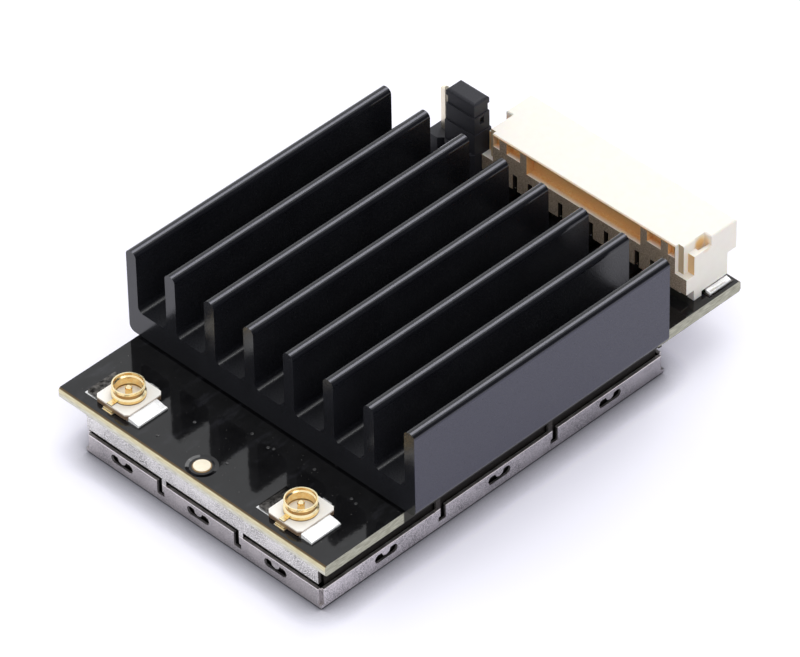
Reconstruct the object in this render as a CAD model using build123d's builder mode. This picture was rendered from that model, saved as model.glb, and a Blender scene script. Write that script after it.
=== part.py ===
from build123d import *
import os

os.makedirs("parts", exist_ok=True)

# All sizes are in millimetres.
# X runs across the board, +Y points to the wire connector, +Z points up along the fins.
# Z = 0 is the outer face of the shield lid, X = 0 is the middle of the heatsink.

# Circuit board
board_width = 22.0
board_length = 34.4
board_thickness = 0.8
board_x = -0.12
board_y = -0.18
edge_bevel = 0.14
land_height = 0.05

# Shield can under the board
shield_height = 2.95
shield_left_gap = 2.06
shield_right_gap = 0.50
shield_front_gap = 0.095
shield_rear_gap = 6.035
sheet = 0.20
lid_skirt = 1.50
lid_bend = 0.16
end_tab_count = 3
side_tab_count = 3
tab_share = 0.98
tab_shift = 0.33
slit_width = 0.44
slit_depth = 0.94
slit_lean = 0.15
slit_foot = 0.34
corner_slit = 0.28
corner_foot = 0.36
latch_length = 1.80
latch_slot = 0.58
latch_height = 0.92
tongue_radius = 0.35
frame_band = 1.00
frame_play = 0.04
frame_flange = 1.15
flange_round = 0.92
band_end = 0.18
corner_gap = 0.06
finger_width = 0.34

# Heatsink
sink_length = 20.95
sink_shift = -0.375
fin_count = 8
fin_pitch = 3.25
fin_thickness = 0.82
fin_height = 4.38
fin_round = 0.38
base_thickness = 1.80
base_round = 0.45
channel_round = 0.40
tape_thickness = 0.15
tape_inset = 0.45
tape_round = 0.30

# Miniature coax receptacles
coax_inset = 2.165
coax_left_inset = 3.69
coax_right_inset = 4.09
coax_base_width = 2.74
coax_base_length = 2.92
coax_base_corner = 0.22
coax_base_height = 0.36
coax_cup_floor = 0.30
ring_radius = 1.00
ring_wall = 0.09
ring_waist = 0.08
ring_collar = 0.26
ring_collar_out = 0.04
ring_rim = 0.17
ring_height = 1.17
lug_out = 0.66
lug_width = 1.90
lug_shift = -0.22
strip = 0.12
coax_pin_radius = 0.22
coax_pin_drop = 0.22
tail_width = 0.72
tail_out = 0.18
tail_shift = -0.12
tongue_width = 0.40
rear_land_out = 0.36
rear_land_shift = 0.27
land_margin = 0.23
tail_margin = 0.05

# Round alignment pad
pad_radius = 0.52
pad_inset = 1.09
pad_shift = -0.12

# Wire connector
contact_count = 10
contact_pitch = 1.25
contact_width = 0.26
contact_thickness = 0.15
contact_play = 0.05
blade_inset = 0.08
blade_height = 1.70
blade_point = 0.15
foot_out = 0.50
leg_in = 0.22
conn_shift = 1.90
conn_inset = 3.92
conn_end = 2.75
conn_side = 0.505
conn_depth = 4.28
conn_lip = 0.75
conn_height = 4.05
conn_step = 1.95
side_back = 0.66
side_foot = 0.65
side_lift = 0.35
shoulder_depth = 2.12
shoulder_height = 3.36
block_low = 0.80
block_depth = 0.82
mouth_back = 1.30
mouth_floor = 0.55
mouth_roof = 0.70
mouth_side = 1.125
mouth_ledge = 0.50
mouth_ledge_width = 0.60
catch_width = 2.20
catch_depth = 0.28
catch_spacing = 7.60
pocket_end = 0.975
pocket_low = 2.50
pocket_depth = 0.62
pocket_roof = 0.15
window_width = 1.12
window_low = 3.10
window_depth = 0.50
peep_width = 0.52
peep_depth = 0.32
groove_width = 0.42
groove_depth = 0.29
recess_width = 0.36
recess_length = 0.85
gap_height = 0.72
gap_depth = 0.75
nail_length = 1.60
nail_inset = 0.18
nail_rise = 1.50
nail_out = 0.345
nail_in = 0.355

# Pin header and jumper
header_gap = 0.04
header_inset = 3.74
header_pitch = 1.27
header_pin_count = 3
header_width = 2.10
header_height = 2.10
header_corner = 0.32
header_relief = 0.15
pin_side = 0.36
pin_above = 3.20
pin_below = 1.05
pin_point = 0.10
hole_play = 0.08
joint_height = 0.55
joint_radius = 0.52
joint_taper = 16
cap_height = 3.80
cap_width = 2.36
cap_depth = 1.28
cap_flare = 0.07
cap_skirt = 1.45
cap_neck_low = 2.70
cap_neck_high = 3.30
cap_round = 0.20
cap_roof = 0.46
cap_window_width = 0.33
cap_window_height = 0.50
cap_window_drop = 0.42
clip_sheet = 0.10
clip_play = 0.03
clip_lift = 0.20

# Levels and places that follow from the sizes above
board_base = shield_height
board_top = board_base + board_thickness
board_front = board_y - board_length / 2
board_rear = board_y + board_length / 2
land_top = board_top + land_height
shield_width = board_width - shield_left_gap - shield_right_gap
shield_length = board_length - shield_front_gap - shield_rear_gap
shield_x = board_x + (shield_left_gap - shield_right_gap) / 2
shield_y = board_y + (shield_front_gap - shield_rear_gap) / 2
wall_in = sheet + frame_play
sink_y = board_y + sink_shift
sink_width = (fin_count - 1) * fin_pitch + fin_thickness
sink_base = board_top + tape_thickness
coax_y = board_front + coax_inset
coax_half_width = coax_base_width / 2
coax_half_length = coax_base_length / 2
ring_waist_radius = ring_radius - ring_waist
ring_bore = ring_waist_radius - ring_wall
conn_x = board_x + conn_shift
conn_front = board_rear - conn_inset
contact_span = (contact_count - 1) * contact_pitch / 2
conn_half = contact_span + conn_end
core_half = conn_half - conn_side
lower_depth = conn_depth - conn_lip
blade_reach = lower_depth - blade_inset
nail_back = lower_depth - nail_inset - nail_length
header_y = board_rear - header_inset
header_right = conn_x - conn_half - header_gap
pin_xs = [header_right - (i + 0.5) * header_pitch for i in range(header_pin_count)]
cap_x = (pin_xs[0] + pin_xs[1]) / 2
cap_base = board_top + header_height

on_floor = (Align.CENTER, Align.CENTER, Align.MIN)
hung = (Align.CENTER, Align.CENTER, Align.MAX)


def save(builder, name):
    builder.part.label = name
    export_step(builder.part, f"parts/{name}.step")


# Circuit board with scored front and rear edges and plated holes for the header pins
with BuildPart() as circuit_board:
    with BuildSketch(Plane.XY.offset(board_base)):
        with Locations((board_x, board_y)):
            Rectangle(board_width, board_length)
        with Locations(*[(x, header_y) for x in pin_xs]):
            Circle(pin_side * 2**0.5 / 2 + hole_play, mode=Mode.SUBTRACT)
    extrude(amount=board_thickness)
    chamfer(circuit_board.edges().filter_by(Axis.X), edge_bevel)
save(circuit_board, "circuit_board")

# Heat-conducting tape between the board and the heatsink
with BuildPart() as thermal_tape:
    with BuildSketch(Plane.XY.offset(board_top)):
        with Locations((board_x, sink_y)):
            tape_width = min(board_width, sink_width) - 2 * tape_inset
            RectangleRounded(tape_width, sink_length - 2 * tape_inset, tape_round)
    extrude(amount=tape_thickness)
save(thermal_tape, "thermal_tape")

# Extruded heatsink, one profile drawn across and pulled along the fins
with BuildPart() as heatsink:
    with BuildSketch(Plane.XZ.offset(-sink_y - sink_length / 2)) as profile:
        with Locations((0, sink_base + base_thickness / 2)):
            Rectangle(sink_width, base_thickness)
        with Locations((0, sink_base + (base_thickness + fin_height) / 2)):
            with GridLocations(fin_pitch, 0, fin_count, 1):
                Rectangle(fin_thickness, base_thickness + fin_height)
        fillet(profile.vertices().group_by(Axis.Y)[-1], fin_round)
        fillet(profile.vertices().group_by(Axis.Y)[0], base_round)
        floor_level = sink_base + base_thickness
        roots = profile.vertices().filter_by(lambda v: abs(v.Y - floor_level) < channel_round / 10)
        fillet(roots, channel_round)
    extrude(amount=sink_length)
save(heatsink, "heatsink")

# The four outer faces of the can, seen from outside, with their widths
front_face = Plane((shield_x, shield_y - shield_length / 2, 0), x_dir=(1, 0, 0), z_dir=(0, -1, 0))
rear_face = Plane((shield_x, shield_y + shield_length / 2, 0), x_dir=(-1, 0, 0), z_dir=(0, 1, 0))
right_face = Plane((shield_x + shield_width / 2, shield_y, 0), x_dir=(0, 1, 0), z_dir=(1, 0, 0))
left_face = Plane((shield_x - shield_width / 2, shield_y, 0), x_dir=(0, -1, 0), z_dir=(-1, 0, 0))
can_faces = (
    (front_face, shield_width, end_tab_count, 1),
    (rear_face, shield_width, end_tab_count, 1),
    (right_face, shield_length, side_tab_count, -1),
    (left_face, shield_length, side_tab_count, -1),
)


def slit_places(width, tabs, lean):
    return [tab_share * width * (i / tabs - 0.5) - lean * tab_shift for i in range(1, tabs)]


def latch_places(width, tabs, lean):
    return [tab_share * width * ((i + 0.5) / tabs - 0.5) - lean * tab_shift for i in range(tabs)]


# Shield lid, a shallow tray whose skirt is slit into springy tabs,
# each with a slot that frees a small blunt tongue to latch on the frame
with BuildPart() as shield_lid:
    with BuildSketch():
        with Locations((shield_x, shield_y)):
            Rectangle(shield_width, shield_length)
    extrude(amount=lid_skirt)
    fillet(shield_lid.faces().sort_by(Axis.Z)[0].edges(), lid_bend)
    with BuildSketch(Plane.XY.offset(sheet)):
        with Locations((shield_x, shield_y)):
            Rectangle(shield_width - 2 * sheet, shield_length - 2 * sheet)
    extrude(amount=lid_skirt, mode=Mode.SUBTRACT)
    for face, width, tabs, lean in can_faces:
        with BuildSketch(face):
            for s in latch_places(width, tabs, lean):
                with Locations((s, latch_height)):
                    straight = latch_length - latch_slot
                    Rectangle(straight, latch_slot)
                    with GridLocations(straight, 0, 2, 1):
                        RegularPolygon(latch_slot / 2, 8, major_radius=False)
                with Locations((s, latch_height + latch_slot / 2)):
                    RegularPolygon(tongue_radius, 8, mode=Mode.SUBTRACT)
            for s in slit_places(width, tabs, lean):
                with Locations((s, lid_skirt - slit_depth / 2)):
                    Rectangle(slit_width, slit_depth)
                with Locations((s + lean * slit_lean, lid_skirt - slit_depth + slit_foot / 2)):
                    Rectangle(slit_width, slit_foot)
            for side in (-1, 1):
                with Locations((side * width / 2, (lid_skirt + corner_foot) / 2)):
                    Rectangle(corner_slit, lid_skirt - corner_foot)
        extrude(amount=-wall_in, mode=Mode.SUBTRACT)
save(shield_lid, "shield_lid")

# Shield frame, folded from one sheet: four walls behind the lid skirt, soldered to the
# board, a pick-up flange around the opening and a flush band along the front and rear
with BuildPart() as shield_frame:
    inner_width = shield_width - 2 * wall_in
    inner_length = shield_length - 2 * wall_in
    with BuildSketch(Plane.XY.offset(sheet)):
        with Locations((shield_x, shield_y)):
            Rectangle(inner_width, inner_length)
    extrude(amount=board_base - sheet)
    with BuildSketch(Plane.XY.offset(2 * sheet)):
        with Locations((shield_x, shield_y)):
            Rectangle(inner_width - 2 * sheet, inner_length - 2 * sheet)
            # the folded walls leave each corner open
            with GridLocations(inner_width, inner_length, 2, 2):
                Rectangle(2 * (sheet + corner_gap), 2 * (sheet + corner_gap))
    extrude(amount=board_base, mode=Mode.SUBTRACT)
    with BuildSketch(Plane.XY.offset(sheet)):
        with Locations((shield_x, shield_y)):
            opening_width = inner_width - 2 * frame_flange
            opening_length = inner_length - 2 * frame_flange
            RectangleRounded(opening_width, opening_length, flange_round)
    extrude(amount=sheet, mode=Mode.SUBTRACT)
    with BuildSketch(Plane.XY.offset(board_base - frame_band)):
        with Locations((shield_x, shield_y)):
            with GridLocations(0, shield_length - wall_in, 1, 2):
                Rectangle(shield_width - 2 * band_end, wall_in)
    extrude(amount=frame_band)
    # short fingers that reach down to the lid beside each slit
    for face, width, tabs, lean in can_faces:
        with BuildSketch(face):
            for s in slit_places(width, tabs, lean):
                beside = lean * (slit_width + finger_width) / 2
                with Locations((s + beside, (lid_skirt + board_base) / 2)):
                    Rectangle(finger_width, board_base - lid_skirt)
        extrude(amount=-wall_in)
save(shield_frame, "shield_frame")

# Solder lands of the two receptacles: two ground lands, the signal land, a small rear land
coax_xs = {
    "left": board_x - board_width / 2 + coax_left_inset,
    "right": board_x + board_width / 2 - coax_right_inset,
}
lug_reach = coax_half_width + lug_out
with BuildPart() as coax_lands:
    with BuildSketch(Plane.XY.offset(board_top)):
        with Locations(*[(x, coax_y) for x in coax_xs.values()]):
            ground = lug_reach + 2 * land_margin - ring_radius
            for side in (-1, 1):
                with Locations((side * (lug_reach + land_margin - ground / 2), lug_shift)):
                    Rectangle(ground, lug_width + 2 * land_margin)
            with Locations((tail_shift, -coax_half_length)):
                Rectangle(tail_width + 2 * tail_margin, 2 * (tail_out + tail_margin))
            with Locations((rear_land_shift, coax_half_length)):
                Rectangle(tail_width, 2 * rear_land_out)
    extrude(amount=land_height)
save(coax_lands, "coax_lands")


def receptacle(x, side):
    """One receptacle: plated ring with two ground lugs, centre pin with its tail, moulded base."""
    root = 2 * strip
    with BuildPart() as ring:
        collar_radius = ring_radius + ring_collar_out
        collar_top = coax_base_height + ring_collar
        rim_low = ring_height - ring_rim
        rim_bore = ring_radius - ring_wall
        with BuildSketch(Plane.XZ):
            with BuildLine():
                Polyline(
                    (ring_bore, root),
                    (ring_waist_radius, root),
                    (ring_waist_radius, coax_base_height),
                    (collar_radius, coax_base_height),
                    (collar_radius, collar_top),
                    (ring_waist_radius, collar_top + ring_waist),
                    (ring_waist_radius, rim_low - ring_waist),
                    (ring_radius, rim_low),
                    (ring_radius, ring_height),
                    (rim_bore, ring_height),
                    (rim_bore, rim_low),
                    (ring_bore, rim_low - ring_waist),
                    close=True,
                )
            make_face()
        revolve(axis=Axis.Z)
        # ground lugs, folded down from the ring inside the base and out to both sides
        for sign in (-1, 1):
            with BuildSketch(Plane.XZ.offset(-lug_shift)):
                with BuildLine():
                    Polyline(
                        (sign * ring_bore, 0),
                        (sign * lug_reach, 0),
                        (sign * lug_reach, strip),
                        (sign * (ring_bore + strip), strip),
                        (sign * (ring_bore + strip), root + strip / 4),
                        (sign * ring_bore, root + strip / 4),
                        close=True,
                    )
                make_face()
            extrude(amount=lug_width / 2, both=True)
        # small tongue from the collar to the front edge of the base
        tongue_end = (coax_half_length + ring_waist_radius) / 2
        with Locations((tail_shift, -tongue_end, coax_base_height)):
            Box(tongue_width, coax_half_length - ring_waist_radius, strip / 2, align=on_floor)
    with BuildPart() as pin:
        pin_top = ring_height - coax_pin_drop
        with BuildSketch(Plane.XZ):
            with BuildLine():
                Polyline(
                    (0, 0),
                    (coax_pin_radius, 0),
                    (coax_pin_radius, pin_top - coax_pin_radius * 0.5),
                    (coax_pin_radius * 0.85, pin_top - coax_pin_radius * 0.2),
                    (coax_pin_radius * 0.55, pin_top),
                    (0, pin_top),
                    close=True,
                )
            make_face()
        revolve(axis=Axis.Z)
        tail = coax_half_length + tail_out
        with Locations((tail_shift, -tail / 2, 0)):
            Box(tail_width, tail, strip, align=on_floor)
    with BuildPart() as base:
        Box(coax_base_width, coax_base_length, coax_base_height, align=on_floor)
        chamfer(base.edges().filter_by(Axis.Z), coax_base_corner)
        add(ring.part, mode=Mode.SUBTRACT)
        add(pin.part, mode=Mode.SUBTRACT)
        with Locations((0, 0, coax_cup_floor)):
            Cylinder(ring_bore, coax_base_height, align=on_floor, mode=Mode.SUBTRACT)
    place = Location((x, coax_y, land_top))
    for builder, name in ((base, "base"), (ring, "ring"), (pin, "pin")):
        builder.part.locate(place)
        save(builder, f"coax_{side}_{name}")


for side, x in coax_xs.items():
    receptacle(x, side)

# Round alignment pad near the front edge
with BuildPart() as alignment_pad:
    with BuildSketch(Plane.XY.offset(board_top)):
        with Locations((board_x + pad_shift, board_front + pad_inset)):
            Circle(pad_radius)
    extrude(amount=land_height)
save(alignment_pad, "alignment_pad")

contact_xs = [conn_x - contact_span + i * contact_pitch for i in range(contact_count)]
foot_length = foot_out + leg_in + contact_thickness

# Solder lands of the wire connector, one per contact and one long land at each side
with BuildPart() as connector_lands:
    with BuildSketch(Plane.XY.offset(board_top)):
        with Locations(*[(x, conn_front - foot_out + foot_length / 2) for x in contact_xs]):
            Rectangle(contact_width + land_margin, foot_length + land_margin)
        with Locations((conn_x, conn_front + nail_back + nail_length / 2)):
            with GridLocations(2 * conn_half - nail_in + nail_out, 0, 2, 1):
                Rectangle(nail_in + nail_out + land_margin, nail_length + 2 * land_margin)
    extrude(amount=land_height)
save(connector_lands, "connector_lands")

# Flat contacts, each bent from a blade in the mouth down to a foot on its land
with BuildPart() as connector_contacts:
    for x in contact_xs:
        side_view = Plane((x, conn_front, land_top), x_dir=(0, 1, 0), z_dir=(1, 0, 0))
        with BuildSketch(side_view):
            with BuildLine():
                under_blade = blade_height - contact_thickness
                Polyline(
                    (-foot_out, 0),
                    (leg_in + contact_thickness, 0),
                    (leg_in + contact_thickness, under_blade),
                    (blade_reach - blade_point, under_blade),
                    (blade_reach, blade_height - contact_thickness / 2),
                    (blade_reach - blade_point, blade_height + contact_thickness / 2),
                    (leg_in, blade_height + contact_thickness / 2),
                    (leg_in, contact_thickness),
                    (-foot_out, contact_thickness),
                    close=True,
                )
            make_face()
        extrude(amount=contact_width / 2, both=True)
save(connector_contacts, "connector_contacts")

# Solder nails, a foot outside each side wall and a blade held in the wall
with BuildPart() as connector_nails:
    for side in (-1, 1):
        nail_view = Plane(
            (conn_x + side * conn_half, conn_front + nail_back, land_top),
            x_dir=(side, 0, 0),
            z_dir=(0, -side, 0),
        )
        with BuildSketch(nail_view):
            with BuildLine():
                Polyline(
                    (-nail_in, 0),
                    (nail_out, 0),
                    (nail_out, contact_thickness),
                    (contact_thickness - nail_in, contact_thickness),
                    (contact_thickness - nail_in, nail_rise),
                    (-nail_in, nail_rise),
                    close=True,
                )
            make_face()
        extrude(amount=-side * nail_length)
save(connector_nails, "connector_nails")

# Housing of the wire connector, with its mouth toward the rear edge of the board
with BuildPart() as connector_housing:
    middle = Plane((conn_x, conn_front, board_top), x_dir=(0, 1, 0), z_dir=(1, 0, 0))
    back = Plane((conn_x, conn_front, board_top), x_dir=(1, 0, 0), z_dir=(0, -1, 0))
    # middle body, one side profile pulled across
    with BuildSketch(middle):
        with BuildLine():
            Polyline(
                (0, 0),
                (lower_depth, 0),
                (lower_depth, conn_step),
                (conn_depth, conn_step),
                (conn_depth, conn_height),
                (0, conn_height),
                close=True,
            )
        make_face()
    extrude(amount=core_half, both=True)
    # side walls with a foot in front, a low shoulder and a full-height rear part
    for side in (-1, 1):
        with BuildSketch(middle.offset(side * core_half)):
            with BuildLine():
                Polyline(
                    (side_back, 0),
                    (side_back + side_foot, 0),
                    (side_back + side_foot, side_lift),
                    (lower_depth, side_lift),
                    (lower_depth, conn_step),
                    (conn_depth, conn_step),
                    (conn_depth, conn_height),
                    (shoulder_depth, conn_height),
                    (shoulder_depth, shoulder_height),
                    (side_back, shoulder_height),
                    close=True,
                )
            make_face()
        extrude(amount=side * conn_side)
    chamfer(connector_housing.edges().group_by(Axis.Z)[-1], conn_side / 8)
    # foot blocks at the two corners of the back
    with BuildSketch(back):
        for side in (-1, 1):
            with Locations((side * (conn_half - conn_side), (block_low + conn_step) / 2)):
                Rectangle(2 * conn_side, conn_step - block_low)
    extrude(amount=-block_depth)
    # mouth, with a ledge along both lower corners and two catch recesses in its roof
    with BuildSketch(back.offset(-conn_depth)):
        mouth_half = conn_half - mouth_side
        with Locations((0, (mouth_floor + mouth_ledge + conn_height - mouth_roof) / 2)):
            Rectangle(2 * mouth_half, conn_height - mouth_roof - mouth_floor - mouth_ledge)
        with Locations((0, mouth_floor + mouth_ledge / 2)):
            Rectangle(2 * (mouth_half - mouth_ledge_width), mouth_ledge)
    extrude(amount=conn_depth - mouth_back, mode=Mode.SUBTRACT)
    with BuildSketch(back.offset(-lower_depth)):
        with Locations((0, conn_height - mouth_roof + catch_depth / 2)):
            with GridLocations(catch_spacing, 0, 2, 1):
                Rectangle(catch_width, catch_depth)
    extrude(amount=conn_lip, mode=Mode.SUBTRACT)
    # long pocket under the top edge of the back
    pocket_high = conn_height - pocket_roof
    with BuildSketch(back):
        with Locations((0, (pocket_low + pocket_high) / 2)):
            Rectangle(2 * (contact_span - pocket_end), pocket_high - pocket_low)
    extrude(amount=-pocket_depth, mode=Mode.SUBTRACT)
    # a window beside each end of the pocket and a peep hole near each corner
    with BuildSketch(back):
        with Locations((0, (window_low + pocket_high) / 2)):
            with GridLocations(2 * contact_span + window_width / 5, 0, 2, 1):
                Rectangle(window_width, pocket_high - window_low)
    extrude(amount=-window_depth, mode=Mode.SUBTRACT)
    with BuildSketch(back):
        with Locations((0, (window_low + pocket_high) / 2)):
            with GridLocations(2 * (core_half - groove_width) - 1.2 * peep_width, 0, 2, 1):
                Rectangle(peep_width, pocket_high - window_low)
    extrude(amount=-peep_depth, mode=Mode.SUBTRACT)
    # upright notches at the corners, above the foot blocks
    with BuildSketch(Plane.XY.offset(board_top + conn_step)):
        with Locations((conn_x, conn_front + groove_depth / 2)):
            with GridLocations(2 * core_half - groove_width, 0, 2, 1):
                Rectangle(groove_width, groove_depth)
    extrude(amount=conn_height, mode=Mode.SUBTRACT)
    # recess in the shoulder beside the top plate
    with BuildSketch(Plane.XY.offset(board_top + shoulder_height - recess_width)):
        with Locations((conn_x, conn_front + shoulder_depth - recess_length / 2)):
            with GridLocations(2 * core_half + recess_width * 0.6, 0, 2, 1):
                Rectangle(recess_width, recess_length)
    extrude(amount=conn_height, mode=Mode.SUBTRACT)
    # clear space for the feet under the back
    with BuildSketch(back):
        with Locations((0, gap_height / 2)):
            Rectangle(2 * core_half, gap_height)
    extrude(amount=-gap_depth, mode=Mode.SUBTRACT)
    # open slots for the contact legs, and tight seats for blades and nails
    with BuildSketch(back):
        slot_top = land_height + blade_height + contact_thickness / 2 + contact_play
        with Locations((0, slot_top / 2)):
            with GridLocations(contact_pitch, 0, contact_count, 1):
                Rectangle(contact_width + 2 * contact_play, slot_top)
    extrude(amount=-leg_in - contact_thickness - contact_play, mode=Mode.SUBTRACT)
    add(connector_contacts.part, mode=Mode.SUBTRACT)
    add(connector_nails.part, mode=Mode.SUBTRACT)
save(connector_housing, "connector_housing")

# Body of the pin header, one eight-sided block per pin
with BuildPart() as header_body:
    for x in pin_xs:
        with BuildSketch(Plane.XY.offset(board_top)) as block:
            with Locations((x, header_y)):
                Rectangle(header_pitch, header_width)
            chamfer(block.vertices(), header_corner)
            with Locations((x, header_y)):
                Rectangle(pin_side, pin_side, mode=Mode.SUBTRACT)
        extrude(amount=header_height)
    with BuildSketch(Plane.XY.offset(board_top)):
        with Locations((pin_xs[1], header_y)):
            with GridLocations(header_pitch, 0, header_pin_count, 1):
                Rectangle(header_pitch - 2 * header_corner, header_width)
    extrude(amount=header_relief, mode=Mode.SUBTRACT)
save(header_body, "header_body")

# Header pins with pointed ends, through the board
with BuildPart() as header_pins:
    low = board_base - pin_below
    high = cap_base + pin_above
    with BuildSketch(Plane.XY.offset(low)):
        with Locations(*[(x, header_y) for x in pin_xs]):
            Rectangle(pin_side, pin_side)
    extrude(amount=high - low)
    ends = header_pins.faces().filter_by(Axis.Z)
    chamfer(ends.edges(), pin_point)
save(header_pins, "header_pins")

# Solder cones around the pins under the board, eight-sided
with BuildPart() as header_joints:
    with BuildSketch(Plane.XY.offset(board_base)):
        with Locations(*[(x, header_y) for x in pin_xs]):
            RegularPolygon(joint_radius, 8)
    extrude(amount=-joint_height, taper=joint_taper)
    add(header_pins.part, mode=Mode.SUBTRACT)
save(header_joints, "header_joints")

# Jumper cap, a moulded box with a flared skirt and a narrower grip below its head
with BuildPart() as jumper_cap:
    with BuildSketch(Plane.XY.offset(cap_base)):
        with Locations((cap_x, header_y)):
            Rectangle(cap_width + 2 * cap_flare, cap_depth + 2 * cap_flare)
    extrude(amount=cap_skirt)
    with BuildSketch(Plane.XY.offset(cap_base)):
        with Locations((cap_x, header_y)):
            Rectangle(cap_width, cap_depth)
    extrude(amount=cap_neck_low)
    with BuildSketch(Plane.XY.offset(cap_base)):
        with Locations((cap_x, header_y)):
            Rectangle(cap_width - 2 * cap_flare, cap_depth - 2 * cap_flare)
    extrude(amount=cap_height)
    with BuildSketch(Plane.XY.offset(cap_base + cap_neck_high)):
        with Locations((cap_x, header_y)):
            Rectangle(cap_width, cap_depth)
    extrude(amount=cap_height - cap_neck_high)
    fillet(jumper_cap.faces().sort_by(Axis.Z)[-1].edges(), cap_round)
    room = cap_height - cap_roof
    room_width = header_pitch + pin_side + 2 * (clip_sheet + clip_play)
    room_depth = pin_side + 2 * (clip_sheet + 2 * clip_play)
    with BuildSketch(Plane.XY.offset(cap_base)):
        with Locations((cap_x, header_y)):
            Rectangle(room_width, room_depth)
    extrude(amount=room, mode=Mode.SUBTRACT)
    # a small window in each end shows the clip
    with BuildSketch(Plane.YZ.offset(cap_x)):
        with Locations((header_y, cap_base + cap_neck_low - cap_window_drop)):
            Rectangle(cap_window_width, cap_window_height)
    extrude(amount=cap_width, both=True, mode=Mode.SUBTRACT)
save(jumper_cap, "jumper_cap")

# Spring clip inside the cap, a folded strip with both legs beside the pins
with BuildPart() as jumper_clip:
    clip_top = cap_base + room - clip_play
    leg_gap = pin_side + 2 * clip_play
    with BuildSketch(Plane.YZ.offset(cap_x)):
        with Locations((header_y, (cap_base + clip_lift + clip_top) / 2)):
            Rectangle(leg_gap + 2 * clip_sheet, clip_top - cap_base - clip_lift)
        with Locations((header_y, (cap_base + clip_top - clip_sheet) / 2)):
            Rectangle(leg_gap, clip_top - clip_sheet - cap_base, mode=Mode.SUBTRACT)
    extrude(amount=room_width / 2 - clip_play, both=True)
save(jumper_clip, "jumper_clip")

# Sizes of the parts hung under the board inside the can
terminal = 0.05
terminal_pitch = 1.27
terminal_width = 0.30
terminal_length = 0.45
corner_pad = 0.60
dimple_radius = 0.22
dimple_depth = 0.06
dimple_inset = 0.70
chip_bevel = 0.10
crystal_width = 3.20
crystal_length = 2.50
crystal_height = 0.45
crystal_lid = 0.20
filter_side = 3.00
filter_height = 0.70
filter_lid = 0.25
lid_margin = 0.15
switch_side = 2.00
switch_height = 0.75
inductor_side = 3.00
inductor_height = 1.60
inductor_corner = 0.45
passive_length = 1.60
passive_width = 0.80
capacitor_height = 0.80
resistor_height = 0.45
end_cap = 0.25
row_gap = 0.40

# Places are shares of the way from the middle of the can to the inside of its frame
under = board_base - terminal
room_x = shield_width / 2 - wall_in - sheet
room_y = shield_length / 2 - wall_in - sheet
chips = {
    "power_amplifier": (0.544, -0.453, 4.50, 4.50, 1.00),
    "radio_transceiver": (0.0, 0.020, 5.50, 5.50, 0.90),
    "controller_chip": (-0.457, 0.555, 6.00, 6.00, 0.90),
    "memory_chip": (0.479, 0.467, 4.00, 3.00, 0.75),
    "voltage_regulator": (0.631, 0.818, 3.00, 3.00, 0.80),
}
others = {
    "reference_crystal": (0.718, 0.020, crystal_width, crystal_length),
    "left_filter": (-0.600, -0.467, filter_side, filter_side),
    "middle_filter": (-0.044, -0.467, filter_side, filter_side),
    "left_switch": (-0.600, -0.847, switch_side, switch_side),
    "right_switch": (0.600, -0.847, switch_side, switch_side),
    "left_inductor": (-0.696, 0.020, inductor_side, inductor_side),
    "rear_inductor": (0.152, 0.832, inductor_side, inductor_side),
}
seats = {}
for name, (share_x, share_y, width, length, *height) in {**chips, **others}.items():
    seats[name] = (shield_x + share_x * room_x, shield_y + share_y * room_y, width, length)

# Small two-ended parts stand in rows beside the parts they serve, with the count of each row
capacitor_counts = {
    ("power_amplifier", "front"): 2,
    ("power_amplifier", "right"): 2,
    ("radio_transceiver", "left"): 2,
    ("radio_transceiver", "right"): 2,
    ("radio_transceiver", "front"): 2,
    ("radio_transceiver", "rear"): 1,
    ("controller_chip", "left"): 3,
    ("controller_chip", "rear"): 2,
    ("memory_chip", "front"): 1,
    ("memory_chip", "right"): 1,
    ("voltage_regulator", "right"): 1,
    ("left_filter", "front"): 1,
    ("middle_filter", "front"): 1,
}
resistor_counts = {
    ("controller_chip", "right"): 2,
    ("memory_chip", "left"): 1,
    ("left_filter", "left"): 1,
    ("left_switch", "right"): 1,
    ("right_switch", "left"): 1,
    ("reference_crystal", "front"): 1,
    ("reference_crystal", "rear"): 1,
}
directions = {"left": (-1, 0), "right": (1, 0), "front": (0, -1), "rear": (0, 1)}


def row(name, side, count):
    x, y, width, length = seats[name]
    dx, dy = directions[side]
    out = row_gap + passive_width / 2
    x += dx * (width / 2 + out)
    y += dy * (length / 2 + out)
    steps = [(i - (count - 1) / 2) * (passive_length + row_gap) for i in range(count)]
    return [(x + abs(dy) * step, y + abs(dx) * step, 90 * abs(dx)) for step in steps]


def places(counts):
    return [place for (name, side), count in counts.items() for place in row(name, side, count)]


def hang(x, y, turn=0):
    return Locations(Location((x, y, under), (0, 0, turn)))


# Moulded chips with a bevelled outer face and a dimple at the first terminal
for name, (share_x, share_y, width, length, height) in chips.items():
    x, y = seats[name][:2]
    with BuildPart() as body:
        with hang(x, y):
            Box(width, length, height, align=hung)
        chamfer(body.faces().sort_by(Axis.Z)[0].edges(), chip_bevel)
        with hang(x - width / 2 + dimple_inset, y + length / 2 - dimple_inset):
            with Locations((0, 0, -height)):
                Cylinder(dimple_radius, dimple_depth, align=on_floor, mode=Mode.SUBTRACT)
    save(body, name)

# Reference crystal, a ceramic tub with a seam-welded lid
with BuildPart() as reference_crystal:
    x, y, width, length = seats["reference_crystal"]
    with hang(x, y):
        Box(width, length, crystal_height, align=hung)
        with Locations((0, 0, -crystal_height)):
            Box(width - 2 * lid_margin, length - 2 * lid_margin, crystal_lid, align=hung)
save(reference_crystal, "reference_crystal")

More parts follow.
